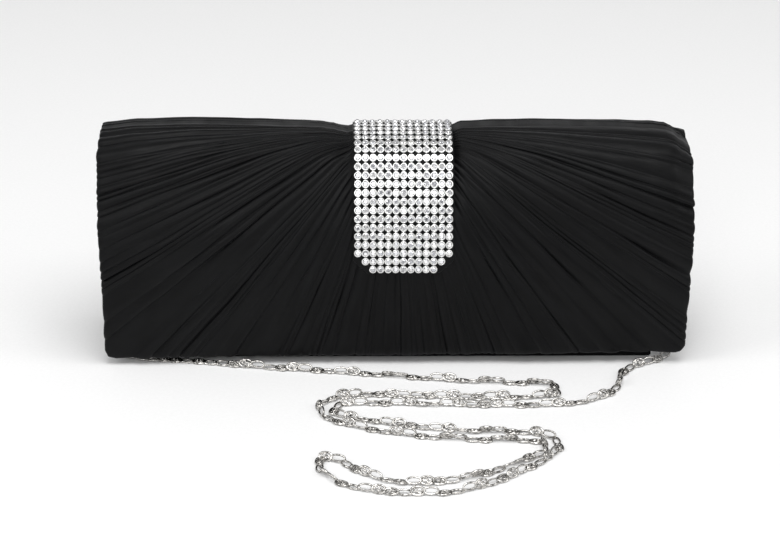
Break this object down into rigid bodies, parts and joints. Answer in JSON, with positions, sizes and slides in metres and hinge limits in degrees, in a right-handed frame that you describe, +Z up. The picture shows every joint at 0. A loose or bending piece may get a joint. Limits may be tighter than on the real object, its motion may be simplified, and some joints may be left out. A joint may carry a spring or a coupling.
{
  "type": "evening bag",
  "caption": "Box-shaped evening clutch with a pleated satin flap, a crystal strap, a magnetic snap and a fold-away link chain.",
  "frame": {"origin": "middle of the bag's base, on the surface that it stands on", "axes": "+Z up, +X along the bag to the right seen from the front, -Y out of the flap's face"},
  "size_m": [0.26, 0.166, 0.1014],
  "materials": {
    "black_satin": "gathered black satin",
    "lining_cloth": "matt black lining cloth",
    "greyboard": "pressed greyboard",
    "wadding": "soft wadding",
    "crystal": "clear faceted stones with a foiled back",
    "silver_cups": "bright plated cup mesh",
    "silver_chain": "bright nickel-plated wire",
    "silver_wire": "bright nickel plate",
    "snap_metal": "satin nickel"
  },
  "bodies": {
    "bag": {"front_satin": "black_satin", "base_satin": "black_satin", "back_satin": "black_satin", "gusset_satin_left": "black_satin", "gusset_satin_right": "black_satin", "front_rim": "black_satin", "hinge_strip": "black_satin", "ring_tab_left": "black_satin", "ring_tab_right": "black_satin", "front_board": "greyboard", "base_board": "greyboard", "back_board": "greyboard", "gusset_board_left": "greyboard", "gusset_board_right": "greyboard", "base_padding": "wadding", "lining": "lining_cloth", "slip_pocket": "lining_cloth", "pocket_binding": "lining_cloth", "snap_socket": "snap_metal", "socket_washer": "snap_metal", "chain": "silver_chain"},
    "flap": {"flap_satin": "black_satin", "flap_hem": "black_satin", "flap_wadding": "wadding", "flap_front_board": "greyboard", "flap_top_board": "greyboard", "flap_lining": "lining_cloth", "strap_band": "black_satin", "strap_cups": "silver_cups", "strap_stones": "crystal", "snap_stud": "snap_metal", "stud_washer": "snap_metal"},
    "left_ring": {"ring_left": "silver_wire", "hook_left": "silver_wire", "pin_left": "silver_wire"},
    "right_ring": {"ring_right": "silver_wire", "hook_right": "silver_wire", "pin_right": "silver_wire"},
    "left_lever": {"lever_left": "silver_wire"},
    "right_lever": {"lever_right": "silver_wire"}
  },
  "joints": [
    {"name": "flap_hinge", "type": "hinge", "parent": "bag", "child": "flap", "pos_m": [0, 0.0244, 0.0894], "axis": [-1, 0, 0], "range_deg": [0, 150], "deforming": ["hinge_strip"]},
    {"name": "left_ring_swing", "type": "hinge", "parent": "bag", "child": "left_ring", "pos_m": [-0.1198, 0, 0.076], "axis": [0, 1, 0], "range_deg": [0, 20]},
    {"name": "right_ring_swing", "type": "hinge", "parent": "bag", "child": "right_ring", "pos_m": [0.1198, 0, 0.076], "axis": [0, -1, 0], "range_deg": [0, 20]},
    {"name": "left_lever_press", "type": "hinge", "parent": "left_ring", "child": "left_lever", "pos_m": [-0.1217, 0, 0.06026], "axis": [0, 1, 0], "range_deg": [0, 22], "stiffness_Nm_per_rad": 0.005, "springref_deg": -5.73},
    {"name": "right_lever_press", "type": "hinge", "parent": "right_ring", "child": "right_lever", "pos_m": [0.1217, 0, 0.06026], "axis": [0, -1, 0], "range_deg": [0, 22], "stiffness_Nm_per_rad": 0.005, "springref_deg": -5.73}
  ]
}
